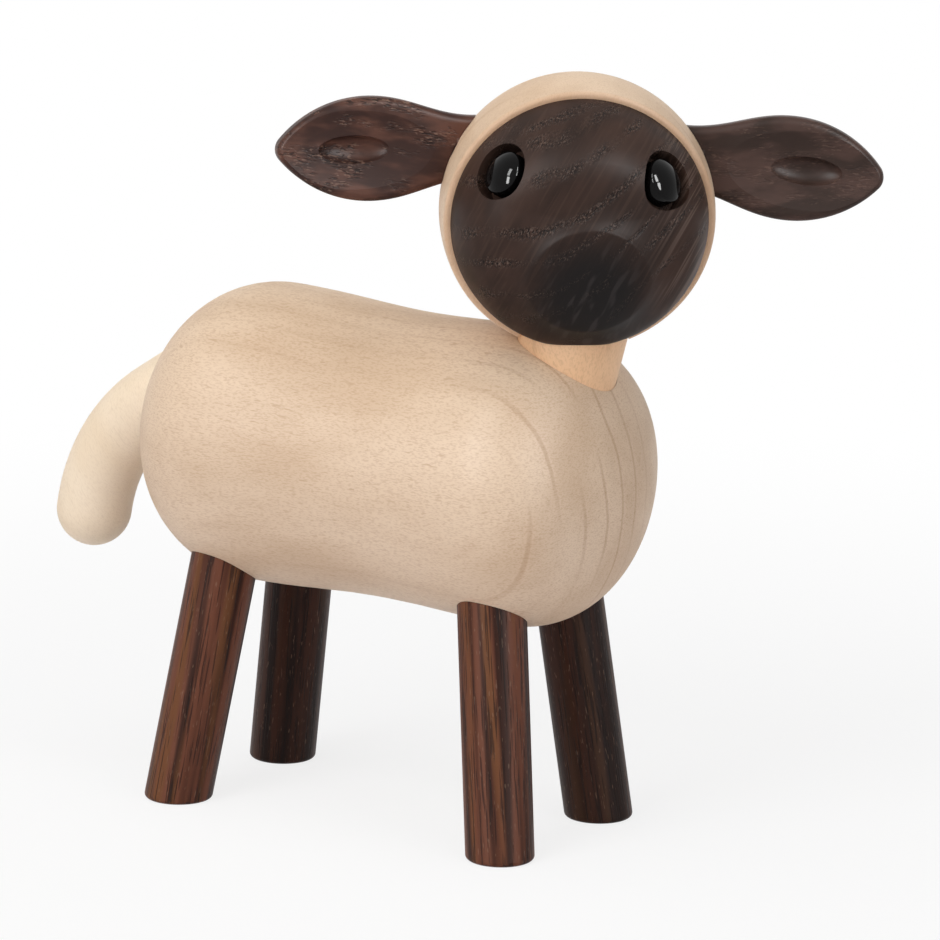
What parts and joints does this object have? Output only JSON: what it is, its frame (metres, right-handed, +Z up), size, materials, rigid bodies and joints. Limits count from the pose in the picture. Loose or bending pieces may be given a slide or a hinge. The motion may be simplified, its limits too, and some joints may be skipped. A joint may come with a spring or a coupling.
{
  "type": "sheep figurine",
  "caption": "Turned wooden sheep figurine on splayed dowel legs, with a dark face, leaf-shaped ears and a head that turns on its neck.",
  "frame": {"origin": "bottom centre of the box round the whole figure, on the surface it stands on", "axes": "+X the way the body faces, +Y the sheep's left, +Z up"},
  "size_m": [0.1896, 0.0796, 0.1688],
  "materials": {
    "maple": "turned maple, sanded and matt oiled",
    "pale_maple": "pale steam-bent maple rod, sanded smooth",
    "smoked_oak": "smoked oak, carved, sanded and waxed",
    "dark_walnut": "dark walnut, carved and waxed",
    "wenge": "dark striped dowel, sanded and waxed",
    "eye_gloss": "polished black button",
    "rubber": "moulded"
  },
  "bodies": {
    "torso": {"body": "maple", "tail": "pale_maple", "leg_front_left": "wenge", "leg_front_right": "wenge", "leg_rear_left": "wenge", "leg_rear_right": "wenge"},
    "head": {"neck": "maple", "neck_friction_ring": "rubber", "head_hood": "maple", "face": "smoked_oak", "ear_left": "dark_walnut", "ear_right": "dark_walnut", "eye_left": "eye_gloss", "eye_right": "eye_gloss"}
  },
  "joints": [
    {"name": "head_turn", "type": "hinge", "parent": "torso", "child": "head", "pos_m": [0.04019, 0.00129, 0.13943], "axis": [0.0218, 0, 0.9998], "continuous": true}
  ]
}
